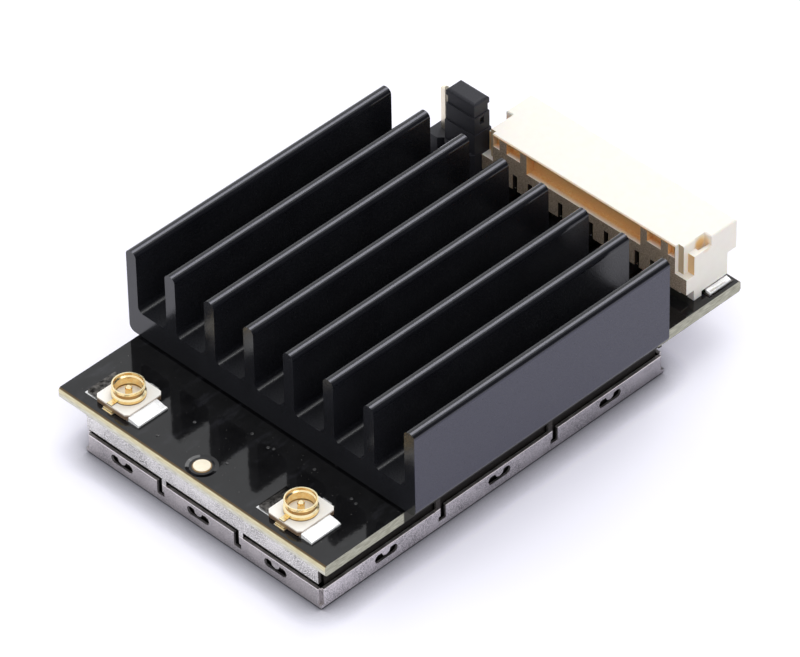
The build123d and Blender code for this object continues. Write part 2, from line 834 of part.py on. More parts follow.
# Band filters, low ceramic boxes with a stepped lid
with BuildPart() as band_filters:
    for name in ("left_filter", "middle_filter"):
        x, y, width, length = seats[name]
        with hang(x, y):
            Box(width, length, filter_height, align=hung)
            with Locations((0, 0, -filter_height)):
                Box(width - 2 * lid_margin, length - 2 * lid_margin, filter_lid, align=hung)
save(band_filters, "band_filters")

# Antenna switches beside the receptacles
with BuildPart() as antenna_switches:
    for name in ("left_switch", "right_switch"):
        x, y, width, length = seats[name]
        with hang(x, y):
            Box(width, length, switch_height, align=hung)
    chamfer(antenna_switches.faces().group_by(Axis.Z)[0].edges(), chip_bevel)
save(antenna_switches, "antenna_switches")

# Power inductors, eight-sided pressed blocks
with BuildPart() as power_inductors:
    for name in ("left_inductor", "rear_inductor"):
        x, y, width, length = seats[name]
        with BuildSketch(Plane.XY.offset(under)) as block:
            with Locations((x, y)):
                Rectangle(width, length)
            chamfer(block.vertices(), inductor_corner)
        extrude(amount=-inductor_height)
    chamfer(power_inductors.faces().group_by(Axis.Z)[0].edges(), chip_bevel)
save(power_inductors, "power_inductors")

# Small two-ended parts: ceramic bodies, then their plated ends
passives = (
    ("chip_capacitors", capacitor_counts, capacitor_height),
    ("chip_resistors", resistor_counts, resistor_height),
)
for name, counts, height in passives:
    with BuildPart() as bodies:
        for place in places(counts):
            with hang(*place):
                Box(passive_length - 2 * end_cap, passive_width, height, align=hung)
    save(bodies, name)
with BuildPart() as chip_ends:
    for name, counts, height in passives:
        for place in places(counts):
            with hang(*place):
                with Locations((0, 0, terminal)):
                    with GridLocations(passive_length - end_cap, 0, 2, 1):
                        Box(end_cap, passive_width, height + terminal, align=hung)
save(chip_ends, "chip_ends")

# Flat terminals between the larger parts and the board
with BuildPart() as chip_terminals:
    for name in chips:
        x, y, width, length = seats[name]
        with hang(x, y):
            with Locations((0, 0, terminal)):
                rows = int((length - 2 * corner_pad) / terminal_pitch) + 1
                with GridLocations(width - terminal_length, terminal_pitch, 2, rows):
                    Box(terminal_length, terminal_width, terminal, align=hung)
                columns = int((width - 2 * corner_pad) / terminal_pitch) + 1
                with GridLocations(terminal_pitch, length - terminal_length, columns, 2):
                    Box(terminal_width, terminal_length, terminal, align=hung)
                rim = 4 * terminal_length
                Box(width - rim, length - rim, terminal, align=hung)
    for name in others:
        x, y, width, length = seats[name]
        with hang(x, y):
            with Locations((0, 0, terminal)):
                with GridLocations(width - corner_pad, length - corner_pad, 2, 2):
                    Box(corner_pad, corner_pad, terminal, align=hung)
save(chip_terminals, "chip_terminals")
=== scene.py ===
import math

import bmesh
import bpy
from mathutils import Matrix, Vector


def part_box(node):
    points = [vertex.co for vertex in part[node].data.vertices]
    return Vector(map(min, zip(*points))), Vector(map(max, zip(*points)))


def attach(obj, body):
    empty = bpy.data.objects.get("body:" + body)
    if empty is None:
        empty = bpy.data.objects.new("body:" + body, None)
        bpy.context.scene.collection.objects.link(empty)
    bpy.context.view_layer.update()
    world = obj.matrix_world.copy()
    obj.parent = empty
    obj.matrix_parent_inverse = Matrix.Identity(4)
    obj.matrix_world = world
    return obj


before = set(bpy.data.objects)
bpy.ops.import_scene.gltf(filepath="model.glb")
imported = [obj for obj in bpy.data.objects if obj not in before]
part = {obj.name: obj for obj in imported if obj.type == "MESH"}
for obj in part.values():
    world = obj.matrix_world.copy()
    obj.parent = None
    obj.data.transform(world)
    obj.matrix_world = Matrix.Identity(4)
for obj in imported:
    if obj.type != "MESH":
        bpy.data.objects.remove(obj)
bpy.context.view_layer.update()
mm = 0.001

# Camera
# A long lens looks down on the front right corner, as in the picture of the part, so the
# coax receptacles come at the left and the wire connector at the upper right.
view_turn = math.radians(45.711)
view_height = math.radians(41.059)
view_roll = math.radians(-1.206)
view_target = Vector((-0.525, 0.053, 3.75)) * mm
view_distance = 420.8 * mm

camera = bpy.data.objects.new("camera", bpy.data.cameras.new("camera"))
camera.data.sensor_width = 36
camera.data.lens = 323.9
camera.data.clip_start = 0.01
camera.data.clip_end = 10
turned = (
    Matrix.Rotation(view_turn, 4, "Z")
    @ Matrix.Rotation(math.pi / 2 - view_height, 4, "X")
    @ Matrix.Rotation(view_roll, 4, "Z")
)
drawn_back = Matrix.Translation((0, 0, view_distance))
camera.matrix_world = Matrix.Translation(view_target) @ turned @ drawn_back
bpy.context.scene.collection.objects.link(camera)
bpy.context.scene.camera = camera
bpy.context.scene.view_settings.view_transform = "Standard"

# Table top
# A white table that runs out of sight, a hair below the can. It glows a little where it is
# seen or mirrored, so that it shows white, and it darkens close to the can.
table_size = 3.0
table_gap = 0.01 * mm
table_white = (0.785, 0.785, 0.82)
table_shade = (0.10, 0.10, 0.12)
shade_reach = 2.0 * mm
shade_power = 2.4
table_glow = (0.86, 0.82, 1.0)
glow_strength = 0.28


def new_finish(name, colour, roughness, metallic=0.0):
    """A new material, with its node tree and its shader."""
    finish = bpy.data.materials.new(name)
    finish.use_nodes = True
    shader = finish.node_tree.nodes["Principled BSDF"]
    shader.inputs["Base Color"].default_value = (*colour, 1)
    shader.inputs["Roughness"].default_value = roughness
    shader.inputs["Metallic"].default_value = metallic
    return finish, finish.node_tree, shader


def calculate(tree, operation, *values):
    """The result of an operation on one or more values, each a number or a node's value."""
    step = tree.nodes.new("ShaderNodeMath")
    step.operation = operation
    for socket, value in zip(step.inputs, values):
        if isinstance(value, (int, float)):
            socket.default_value = value
        else:
            tree.links.new(value, socket)
    return step.outputs["Value"]


def blend(tree, share, first, second):
    """A colour between two, each a colour or another node's colour."""
    mix = tree.nodes.new("ShaderNodeMix")
    mix.data_type = "RGBA"
    tree.links.new(share, mix.inputs["Factor"])
    for socket, colour in ((mix.inputs[6], first), (mix.inputs[7], second)):
        if isinstance(colour, tuple):
            socket.default_value = (*colour, 1)
        else:
            tree.links.new(colour, socket)
    return mix.outputs[2]


def paint(tree, shader, colour, roughness=None):
    """Gives the shader a colour that varies and, where it is named, such a roughness."""
    tree.links.new(colour, shader.inputs["Base Color"])
    if roughness is not None:
        tree.links.new(roughness, shader.inputs["Roughness"])


def seen_rays(tree):
    """One for the rays of the camera, and for those that metal and glass send out."""
    path = tree.nodes.new("ShaderNodeLightPath")
    seen = path.outputs["Is Camera Ray"]
    for ray in ("Is Glossy Ray", "Is Transmission Ray"):
        seen = calculate(tree, "MAXIMUM", seen, path.outputs[ray])
    return seen


def choose_for_seen(tree, plain, seen):
    """The plain shader lights the part, and the other shows where the rays are seen."""
    choice = tree.nodes.new("ShaderNodeMixShader")
    tree.links.new(seen_rays(tree), choice.inputs[0])
    tree.links.new(plain, choice.inputs[1])
    tree.links.new(seen, choice.inputs[2])
    return choice.outputs[0]


bpy.ops.object.select_all(action="DESELECT")
bpy.ops.mesh.primitive_plane_add(size=table_size, location=(0, 0, -table_gap))
table = bpy.context.object
table.name = "table_top"
paper, tree, shader = new_finish("white_table", table_white, 0.9)
shader.inputs["Specular IOR Level"].default_value = 0.0
nearby = tree.nodes.new("ShaderNodeAmbientOcclusion")
nearby.samples = 6
nearby.inputs["Distance"].default_value = shade_reach
openness = calculate(tree, "POWER", nearby.outputs["AO"], shade_power)
paint(tree, shader, blend(tree, openness, table_shade, table_white))
glow = tree.nodes.new("ShaderNodeEmission")
glow.inputs["Color"].default_value = (*table_glow, 1)
tree.links.new(calculate(tree, "MULTIPLY", openness, glow_strength), glow.inputs["Strength"])
glowing = tree.nodes.new("ShaderNodeAddShader")
tree.links.new(shader.outputs[0], glowing.inputs[0])
tree.links.new(glow.outputs[0], glowing.inputs[1])
lit = choose_for_seen(tree, shader.outputs[0], glowing.outputs[0])
tree.links.new(lit, tree.nodes["Material Output"].inputs["Surface"])
table.data.materials.append(paper)

# Room and lamps
# An even white room with one dim corner behind the right side, pure white where the camera
# sees it, and three soft windows: overhead, behind the connector and at the right.
room_white = (0.97, 0.98, 1.0)
room_dark = (0.05, 0.05, 0.06)
room_strength = 0.92
corner_way = Vector((0.78, 0.527, 0.334)).normalized()
corner_edge = math.radians(30)
corner_heart = math.radians(20)
windows = {
    "window_top": ((-0.04, 0.22, 0.55), 0.26, 0.60),
    "window_rear": ((-0.15, 0.45, 0.45), 0.30, 0.70),
    "window_right": ((0.45, -0.05, 0.30), 0.30, 0.30),
}


def spread(tree, value, low, high, to_low=0.0, to_high=1.0):
    """The value between low and high, drawn out to a new range."""
    change = tree.nodes.new("ShaderNodeMapRange")
    change.inputs["From Min"].default_value = low
    change.inputs["From Max"].default_value = high
    change.inputs["To Min"].default_value = to_low
    change.inputs["To Max"].default_value = to_high
    tree.links.new(value, change.inputs["Value"])
    return change.outputs["Result"]


room = bpy.data.worlds.new("white_room")
bpy.context.scene.world = room
room.use_nodes = True
tree = room.node_tree
way = tree.nodes.new("ShaderNodeTexCoord")
to_corner = tree.nodes.new("ShaderNodeVectorMath")
to_corner.operation = "DOT_PRODUCT"
to_corner.inputs[1].default_value = corner_way
tree.links.new(way.outputs["Generated"], to_corner.inputs[0])
in_corner = spread(
    tree, to_corner.outputs["Value"], math.cos(corner_edge), math.cos(corner_heart)
)
wall = blend(tree, in_corner, room_white, room_dark)
room_light = tree.nodes["Background"]
room_light.inputs["Strength"].default_value = room_strength
tree.links.new(wall, room_light.inputs["Color"])
from_camera = tree.nodes.new("ShaderNodeLightPath").outputs["Is Camera Ray"]
room_seen = tree.nodes.new("ShaderNodeBackground")
room_seen.inputs["Strength"].default_value = 1.0
tree.links.new(blend(tree, from_camera, wall, (1.0, 1.0, 1.0)), room_seen.inputs["Color"])
lit = choose_for_seen(tree, room_light.outputs[0], room_seen.outputs[0])
tree.links.new(lit, tree.nodes["World Output"].inputs["Surface"])

for name, (place, width, power) in windows.items():
    lamp = bpy.data.objects.new(name, bpy.data.lights.new(name, "AREA"))
    lamp.data.shape = "SQUARE"
    lamp.data.size = width
    lamp.data.energy = power
    lamp.location = place
    lamp.rotation_mode = "QUATERNION"
    lamp.rotation_quaternion = Vector(place).to_track_quat("Z", "Y")
    bpy.context.scene.collection.objects.link(lamp)

# Circuit board
# A glass-fibre board under a glossy black solder mask, cut free along scored lines. Its
# edges show pale fibres, with a painted highlight near the top and a painted shade line where the
# mask ends, standing for the rounded top edge.
board_low, board_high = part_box("circuit_board")
board_top = board_high.z
sink_low, sink_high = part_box("heatsink")
pad_low, pad_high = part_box("alignment_pad")
pad_radius = (pad_high.x - pad_low.x) / 2
pad_centre = (pad_low + pad_high) / 2
pad_centre.z = board_top
# Of two colours or two sizes in a pair, a pattern goes from the first to the second.
fibre_size = 0.10 * mm
front_fibres = ((0.56, 0.53, 0.44), (0.86, 0.85, 0.78))
# The sides' fibres are a darker copy of the front's, a painted shade; under the heatsink the
# painted shade is deeper.
shaded_side_fibres = ((0.30, 0.29, 0.22), (0.56, 0.55, 0.46))
# The yellow band and the brown line at the top of the front edge are a painted highlight and a
# painted shade, standing for the rounded top edge.
bevel_highlight = ((0.64, 0.56, 0.33), (0.88, 0.80, 0.55))
bevel_highlight_depth = (0.52 * mm, 0.26 * mm)
bevel_shade = (0.10, 0.06, 0.02)
bevel_shade_depth = (0.12 * mm, 0.07 * mm)
edge_in_shade = (0.020, 0.018, 0.012)
edge_roughness = 0.7
mask_black = ((0.0030, 0.0030, 0.0035), (0.0080, 0.0080, 0.0088))
mask_dust = (0.20, 0.19, 0.18)
mask_smear = (0.020, 0.020, 0.024)
mask_film = (0.012 * mm, 0.006 * mm)
mask_roughness = 0.07
bare_copper = (0.26, 0.15, 0.05)
bare_width = 0.05 * mm
mask_step = (0.24 * mm, 0.46 * mm)


def position(tree, stretch=(1, 1, 1)):
    """Object coordinates, with a pattern drawn out along the axes whose stretch is large."""
    where = tree.nodes.new("ShaderNodeTexCoord")
    drawn = tree.nodes.new("ShaderNodeMapping")
    drawn.inputs["Scale"].default_value = [1 / s for s in stretch]
    tree.links.new(where.outputs["Object"], drawn.inputs["Vector"])
    return drawn.outputs["Vector"]


def grain(tree, size, stretch=(1, 1, 1), detail=3.0, roughness=0.55):
    """Noise whose lumps are about size long."""
    noise = tree.nodes.new("ShaderNodeTexNoise")
    noise.inputs["Scale"].default_value = 1 / size
    noise.inputs["Detail"].default_value = detail
    noise.inputs["Roughness"].default_value = roughness
    tree.links.new(position(tree, stretch), noise.inputs["Vector"])
    return noise.outputs["Fac"]


def mottled(tree, noise, first, second, low=0.3, high=0.7):
    """Two colours in patches, the second where the noise is high."""
    return blend(tree, spread(tree, noise, low, high), first, second)


def along(tree, axis):
    """The place of a point along X, Y or Z, in metres."""
    parts = tree.nodes.new("ShaderNodeSeparateXYZ")
    tree.links.new(position(tree), parts.inputs["Vector"])
    return parts.outputs[axis]


def away_from(tree, centre):
    """The distance of a point from a centre."""
    gap = tree.nodes.new("ShaderNodeVectorMath")
    gap.operation = "DISTANCE"
    gap.inputs[1].default_value = centre
    tree.links.new(position(tree), gap.inputs[0])
    return gap.outputs["Value"]


def facing(tree, axis):
    """How far a surface faces along X, Y or Z, from -1 to 1."""
    surface = tree.nodes.new("ShaderNodeNewGeometry")
    parts = tree.nodes.new("ShaderNodeSeparateXYZ")
    tree.links.new(surface.outputs["Normal"], parts.inputs["Vector"])
    return parts.outputs[axis]


def all_of(tree, *shares):
    """One where every share is one, and nothing where any of them is nothing."""
    together = shares[0]
    for share in shares[1:]:
        together = calculate(tree, "MULTIPLY", together, share)
    return together


def stripe(tree, value, low, high, soft):
    """One between low and high, falling to nothing over the soft width outside them."""
    return all_of(
        tree, spread(tree, value, low - soft, low), spread(tree, value, high + soft, high)
    )


def relief(tree, shader, heights, depth, strength=1.0):
    """A bump of that depth, over the bumps that the shader already has."""
    bump = tree.nodes.new("ShaderNodeBump")
    bump.inputs["Distance"].default_value = depth
    bump.inputs["Strength"].default_value = strength
    if shader.inputs["Normal"].links:
        tree.links.new(shader.inputs["Normal"].links[0].from_socket, bump.inputs["Normal"])
    tree.links.new(heights, bump.inputs["Height"])
    tree.links.new(bump.outputs["Normal"], shader.inputs["Normal"])


def dress(names, finish):
    """Gives the pieces of those names a finish all over."""
    for name in names:
        for place in part[name].material_slots:
            place.material = finish


def board_edge(tree, fibres, depth):
    """The cut edge, pale at the front and rear with a painted highlight and shade line along the
    top, and painted shade at the sides, deeper under the heatsink.
    """
    front = mottled(tree, fibres, *front_fibres, 0.35, 0.65)
    resin_and_bevel_highlight = mottled(tree, fibres, *bevel_highlight)
    front = blend(tree, spread(tree, depth, *bevel_highlight_depth), front, resin_and_bevel_highlight)
    front = blend(tree, spread(tree, depth, *bevel_shade_depth), front, bevel_shade)
    side = mottled(tree, fibres, *shaded_side_fibres, 0.35, 0.65)
    under_sink = stripe(tree, along(tree, "Y"), sink_low.y, sink_high.y, 0.10 * mm)
    side = blend(tree, under_sink, side, edge_in_shade)
    return blend(tree, spread(tree, facing(tree, "X"), 0.4, 0.6), front, side)


def mask_face(tree, from_pad):
    """The black mask with its dust and wiped haze, cut back in a ring around the gold pad."""
    cloud = grain(tree, 1.2 * mm, detail=4)
    dust = grain(tree, 0.10 * mm, detail=1)
    smear = grain(tree, 0.9 * mm, (1, 3, 1), 5, 0.7)
    black = mottled(tree, cloud, *mask_black, 0.35, 0.75)
    black = mottled(tree, dust, black, mask_dust, 0.79, 0.81)
    black = mottled(tree, smear, black, mask_smear, 0.55, 0.72)
    bare_ring = stripe(tree, from_pad, pad_radius, pad_radius + bare_width, 0.03 * mm)
    return blend(tree, bare_ring, black, bare_copper)


mask, tree, shader = new_finish("black_solder_mask", (0.004, 0.004, 0.005), 0.08)
shader.inputs["Specular IOR Level"].default_value = 0.52
level = along(tree, "Z")
depth = calculate(tree, "SUBTRACT", board_top, level)
height = calculate(tree, "SUBTRACT", level, board_low.z)
fibres = grain(tree, fibre_size, (6, 6, 0.7), 4)
from_pad = away_from(tree, pad_centre)
black = mask_face(tree, from_pad)
on_top = spread(tree, depth, *mask_film)
colour = blend(tree, on_top, board_edge(tree, fibres, depth), black)
colour = blend(tree, spread(tree, height, *mask_film), colour, black)
paint(tree, shader, colour, spread(tree, on_top, 0, 1, edge_roughness, mask_roughness))
relief(tree, shader, grain(tree, 0.8 * mm, detail=2), 0.008 * mm, 0.5)
relief(tree, shader, fibres, 0.004 * mm, 0.4)
relief(tree, shader, spread(tree, from_pad, *(pad_radius + r for r in mask_step)), 0.05 * mm)
dress(["circuit_board"], mask)

# Shield can
# Nickel-silver sheet, rolled, punched and folded: a frame that is soldered under the board
# and a lid whose sprung skirt latches over it.
can_low, can_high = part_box("shield_lid")
can_middle = (can_low + can_high) / 2
lid_top = can_high.z
bend_shade = (0.09, 0.08, 0.075)
bend_facing = (-0.92, -0.16)
slit_shade = (0.010, 0.008, 0.007)
slit_shade_depth = (0.11 * mm, 0.19 * mm)
slit_shade_height = (0.02 * mm, 0.06 * mm)
rim_highlight = (0.95, 0.90, 0.87)
rim_highlight_height = 0.06 * mm
rim_highlight_depth = (0.22 * mm, 0.20 * mm)
# The colours of each sheet at the front, on its long sides and at their rear ends: painted
# reflection and shade, the lid's sides lighter at the front and darker at the rear, the frame's
# sides dark with painted shade under the board.
lid_lit_and_shaded_colours = ((0.67, 0.63, 0.625), (0.98, 0.93, 0.95), (0.50, 0.475, 0.50))
frame_lit_and_shaded_colours = ((0.92, 0.90, 0.87), (0.07, 0.06, 0.055), (0.05, 0.045, 0.04))


def inside_can(tree):
    """How deep a point lies behind the nearest outer wall of the can."""
    depths = []
    for axis, centre, edge in zip("XY", can_middle, can_high):
        out = calculate(tree, "ABSOLUTE", calculate(tree, "SUBTRACT", along(tree, axis), centre))
        depths.append(calculate(tree, "SUBTRACT", edge - centre, out))
    return calculate(tree, "MINIMUM", *depths)


def sheet_metal(name, front, side, rear, roughness):
    """Rolled sheet with painted reflection and shade: darker toward the rear of the long sides,
    painted shade behind its slits and in its bottom bend, and a painted highlight on the lid's top
    edge.
    """
    metal, tree, shader = new_finish(name, front, roughness, 1.0)
    rolled = grain(tree, 0.05 * mm, (10, 10, 1), 3)
    speck = grain(tree, 0.07 * mm, detail=2)
    stain = grain(tree, 1.6 * mm, detail=4)
    level = along(tree, "Z")
    depth = inside_can(tree)
    # The long sides go from a lighter painted reflection at the front to painted shade at the
    # rear.
    long_side = blend(tree, spread(tree, along(tree, "Y"), can_low.y, can_high.y), side, rear)
    on_side = spread(tree, calculate(tree, "ABSOLUTE", facing(tree, "X")), 0.3, 0.8)
    colour = blend(tree, on_side, front, long_side)
    dull = all_of(tree, spread(tree, stain, 0.3, 0.7, 0.3, 1), spread(tree, speck, 0.4, 0.6))
    dulled = tuple(0.5 * c for c in rear)
    colour = blend(tree, dull, colour, dulled)
    bend = stripe(tree, facing(tree, "Z"), *bend_facing, 0.06)
    colour = blend(tree, bend, colour, bend_shade)
    # Painted shade inside the can, deeper than the sheet and above its bottom edge, seen through
    # the slits.
    slit_shade_mask = all_of(tree, spread(tree, depth, *slit_shade_depth), spread(tree, level, *slit_shade_height))
    colour = blend(tree, slit_shade_mask, colour, slit_shade)
    # A painted highlight along the lid's top edge.
    rim_highlight_mask = stripe(tree, level, lid_top - rim_highlight_height, lid_top + 0.01 * mm, 0.02 * mm)
    rim_highlight_mask = all_of(tree, rim_highlight_mask, spread(tree, depth, *rim_highlight_depth))
    colour = blend(tree, rim_highlight_mask, colour, rim_highlight)
    rough = spread(tree, rolled, 0.3, 0.7, roughness - 0.06, roughness + 0.12)
    paint(tree, shader, colour, rough)
    relief(tree, shader, rolled, 0.004 * mm, 0.5)
    relief(tree, shader, speck, roughness * 0.010 * mm, 0.6)
    return metal


dress(["shield_lid"], sheet_metal("lid_sheet", *lid_lit_and_shaded_colours, roughness=0.42))
dress(["shield_frame"], sheet_metal("frame_sheet", *frame_lit_and_shaded_colours, roughness=0.28))

# Heatsink and its tape
# An aluminium extrusion sawn to length and anodised black, stuck down with soft grey
# heat-conducting tape. The draw lines run along the fins.
sink_half = (sink_high.x - sink_low.x) / 2
fin_round = 0.38 * mm
anodised_black = ((0.0060, 0.0062, 0.0085), (0.010, 0.0105, 0.0135))
outer_face_sheen = ((0.016, 0.016, 0.035), (0.031, 0.031, 0.057))
fin_top_highlight = (0.07, 0.07, 0.095)
highlight_facing = (0.12, 0.40)
grey_tape = ((0.42, 0.43, 0.44), (0.58, 0.59, 0.60))

anodised, tree, shader = new_finish("black_anodised", (0.006, 0.006, 0.008), 0.30)
drawn = grain(tree, 0.05 * mm, (1, 60, 1), 3)
pores = grain(tree, 0.06 * mm, detail=2)
tone = grain(tree, 2.5 * mm, detail=3)
colour = mottled(tree, tone, *anodised_black)
across = calculate(tree, "ABSOLUTE", along(tree, "X"))
outer_face = spread(tree, across, sink_half - 0.03 * mm, sink_half - 0.01 * mm)
# A painted bluish sheen on the outer faces of the outer fins.
colour = blend(tree, outer_face, colour, mottled(tree, pores, *outer_face_sheen))
fin_shoulder = sink_high.z - fin_round
near_top = spread(tree, along(tree, "Z"), fin_shoulder - 0.01 * mm, fin_shoulder)
# A painted highlight along the rounded tops of the fins.
fin_highlight_mask = all_of(tree, stripe(tree, facing(tree, "X"), *highlight_facing, 0.08), near_top)
colour = blend(tree, fin_highlight_mask, colour, fin_top_highlight)
sawn = spread(tree, facing(tree, "Y"), -0.5, -0.9)
smooth = calculate(tree, "MAXIMUM", sawn, near_top)
rough = spread(tree, pores, 0.3, 0.7, 0.10, 0.22)
paint(tree, shader, colour, calculate(tree, "ADD", rough, spread(tree, smooth, 0, 1, 0.14, 0.0)))
relief(tree, shader, drawn, 0.004 * mm, 0.5)
relief(tree, shader, pores, 0.003 * mm, 0.4)
dress(["heatsink"], anodised)

tape, tree, shader = new_finish("heat_tape", (0.50, 0.51, 0.52), 0.7)
soft = grain(tree, 0.2 * mm)
paint(tree, shader, blend(tree, soft, *grey_tape))
relief(tree, shader, soft, 0.01 * mm, 0.6)
dress(["thermal_tape"], tape)

# Coax receptacles
# Each has a gold-plated ring and centre pin, moulded into a white base with cut corners,
# and soldered to bright tinned lands. The solder has run over the lugs at both sides.
ring_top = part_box("coax_left_ring")[1].z
base_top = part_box("coax_left_base")[1].z
ring_gold = ((1.0, 0.83, 0.44), (0.94, 0.60, 0.22))
gold_top_highlight = (1.0, 0.87, 0.55)
waist_shade = (0.40, 0.22, 0.075)
waist_low = ring_top - 0.50 * mm
waist_high = ring_top - 0.24 * mm
waist_level = ring_top - 0.36 * mm
waist_reach = (0.865 * mm, 0.885 * mm)
ring_foot_shade = (0.16, 0.085, 0.03)
skirt_height = 0.05 * mm
base_white = ((0.95, 0.93, 0.87), (1.0, 0.985, 0.94))
base_wall_shade = (0.70, 0.63, 0.55)
base_foot_shade = (0.20, 0.13, 0.08)
foot_shade_height = (0.34 * mm, 0.29 * mm)


def outside_waist(tree):
    """One outside the rings' narrow waist, and nothing on their inner walls."""
    gaps = []
    for side in ("left", "right"):
        base_low, base_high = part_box(f"coax_{side}_base")
        middle = (base_low + base_high) / 2
        middle.z = waist_level
        gaps.append(away_from(tree, middle))
    return spread(tree, calculate(tree, "MINIMUM", *gaps), *waist_reach)


gold, tree, shader = new_finish("gold_plate", (1.0, 0.80, 0.42), 0.14, 1.0)
worn = grain(tree, 0.25 * mm, detail=4)
level = along(tree, "Z")
upward = spread(tree, facing(tree, "Z"), 0.5, 0.8)
colour = mottled(tree, worn, *ring_gold)
# Painted shade on the outer waist of each ring.
waist = all_of(tree, stripe(tree, level, waist_low, waist_high, 0.03 * mm), outside_waist(tree))
colour = blend(tree, waist, colour, waist_shade)
# Painted shade low on the rings, just above the base.
skirt = stripe(tree, level, base_top, base_top + skirt_height, 0.04 * mm)
skirt = all_of(tree, skirt, calculate(tree, "SUBTRACT", 1, upward))
colour = blend(tree, skirt, colour, ring_foot_shade)
# A painted highlight on the faces that look up.
colour = blend(tree, upward, colour, gold_top_highlight)
paint(tree, shader, colour, spread(tree, worn, 0.3, 0.7, 0.15, 0.26))
relief(tree, shader, grain(tree, 0.05 * mm), 0.002 * mm, 0.4)
dress(["coax_left_ring", "coax_right_ring", "coax_left_pin", "coax_right_pin"], gold)

white_base, tree, shader = new_finish("white_moulding", (0.93, 0.91, 0.86), 0.45)
mottle = grain(tree, 0.3 * mm)
# Painted shade on the walls of the base, darkest at their foot by the solder.
foot_shade_mask = spread(tree, along(tree, "Z"), *(board_top + h for h in foot_shade_height))
colour = blend(tree, mottle, *base_white)
wall = spread(tree, facing(tree, "Z"), 0.6, 0.3)
paint(tree, shader, blend(tree, wall, colour, blend(tree, foot_shade_mask, base_wall_shade, base_foot_shade)))
relief(tree, shader, mottle, 0.004 * mm, 0.5)
dress(["coax_left_base", "coax_right_base"], white_base)


def solder_finish(name, light, dark, metallic, roughness):
    """Solder that has flowed and set, smooth in some places and dull in others."""
    solder, tree, shader = new_finish(name, light, roughness, metallic)
    flow = grain(tree, 0.30 * mm, detail=3)
    smooth = spread(tree, flow, 0.3, 0.7, roughness - 0.05, roughness + 0.12)
    paint(tree, shader, mottled(tree, flow, light, dark, 0.35, 0.65), smooth)
    relief(tree, shader, flow, 0.02 * mm, 0.5)
    return solder


def select_points(piece, chosen):
    """Selects, in edit mode, the points whose place is chosen."""
    shape = bmesh.from_edit_mesh(piece.data)
    for point in shape.verts:
        point.select = chosen(point.co)
    shape.select_flush_mode()
    bmesh.update_edit_mesh(piece.data)


def seat(piece, finish):
    """Fixes a finished piece in its place, with its finish."""
    bpy.ops.object.select_all(action="DESELECT")
    piece.select_set(True)
    bpy.context.view_layer.objects.active = piece
    bpy.ops.object.transform_apply(location=True, rotation=True, scale=True)
    piece.data.materials.clear()
    piece.data.materials.append(finish)
    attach(piece, "root")


def solder_pool(name, low, high, thin_side, edge_height, rounding, finish):
    """A pool of solder over a foot and its land, high against the part, thin at its outer side."""
    outer = high.x if thin_side > 0 else low.x
    span = high.x - low.x
    close = 0.01 * mm
    ripple = 0.016 * mm
    bpy.ops.object.select_all(action="DESELECT")
    bpy.ops.mesh.primitive_cube_add(size=1, location=(low + high) / 2, scale=high - low)
    pool = bpy.context.object
    pool.name = name
    bpy.ops.object.transform_apply(location=True, rotation=True, scale=True)
    bpy.ops.object.mode_set(mode="EDIT")
    select_points(pool, lambda p: p.z > high.z - close and abs(p.x - outer) < close)
    bpy.ops.transform.translate(value=(0, 0, low.z + edge_height - high.z))
    select_points(pool, lambda p: True)
    bpy.ops.mesh.subdivide(number_cuts=5)
    select_points(pool, lambda p: p.z > low.z + edge_height and abs(p.x - outer) > 0.1 * span)
    bpy.ops.transform.vertex_random(offset=ripple, uniform=0, normal=1, seed=len(name))
    bpy.ops.object.mode_set(mode="OBJECT")
    round_off = pool.modifiers.new("round_off", "BEVEL")
    round_off.width = rounding
    round_off.segments = 3
    round_off.limit_method = "ANGLE"
    bpy.ops.object.modifier_apply(modifier=round_off.name)
    bpy.ops.object.shade_smooth_by_angle(angle=math.radians(40))
    seat(pool, finish)


tin = solder_finish("tin_plate", (0.90, 0.90, 0.89), (0.72, 0.72, 0.72), 1.0, 0.24)
bright_solder = solder_finish("bright_solder", (0.98, 0.98, 0.97), (0.92, 0.92, 0.92), 0.15, 0.25)
# A dark grey solder, for the pools at the receptacles' left lugs and for the connector's lands.
dark_solder = solder_finish(
    "dark_solder", (0.16, 0.15, 0.14), (0.015, 0.014, 0.013), 1.0, 0.18
)
dress(["coax_lands"], tin)

lug_offset = 0.22 * mm
right_front, right_rear, right_out = 1.16 * mm, 1.14 * mm, 0.23 * mm
right_height, right_edge = 0.30 * mm, 0.17 * mm
left_front, left_rear, left_out = 1.02 * mm, 1.18 * mm, 0.16 * mm
left_height, left_edge = 0.26 * mm, 0.20 * mm
lug_rounding = 0.02 * mm
for side in ("left", "right"):
    base_low, base_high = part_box(f"coax_{side}_base")
    ring_low, ring_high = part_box(f"coax_{side}_ring")
    lug_middle = (base_low.y + base_high.y) / 2 - lug_offset
    solder_pool(
        f"coax_{side}_solder_right",
        low=Vector((base_high.x, lug_middle - right_front, board_top)),
        high=Vector((ring_high.x + right_out, lug_middle + right_rear, board_top + right_height)),
        thin_side=1,
        edge_height=right_edge,
        rounding=lug_rounding,
        finish=bright_solder,
    )
    solder_pool(
        f"coax_{side}_solder_left",
        low=Vector((ring_low.x - left_out, lug_middle - left_front, board_top)),
        high=Vector((base_low.x, lug_middle + left_rear, board_top + left_height)),
        thin_side=-1,
        edge_height=left_edge,
        rounding=lug_rounding,
        finish=dark_solder,
    )

# Alignment pad
# A round bare pad of the board's own copper, flat and gold plated, that guides the machine
# which sets the parts. The header's pins and the jumper's clip have the same plating.
pale_gold = ((1.0, 0.95, 0.82), (0.95, 0.84, 0.62))

flat_gold, tree, shader = new_finish("flat_gold", (0.98, 0.91, 0.74), 0.34, 1.0)
worn = grain(tree, 0.2 * mm)
paint(tree, shader, blend(tree, worn, *pale_gold))
relief(tree, shader, worn, 0.004 * mm, 0.4)
dress(["alignment_pad"], flat_gold)

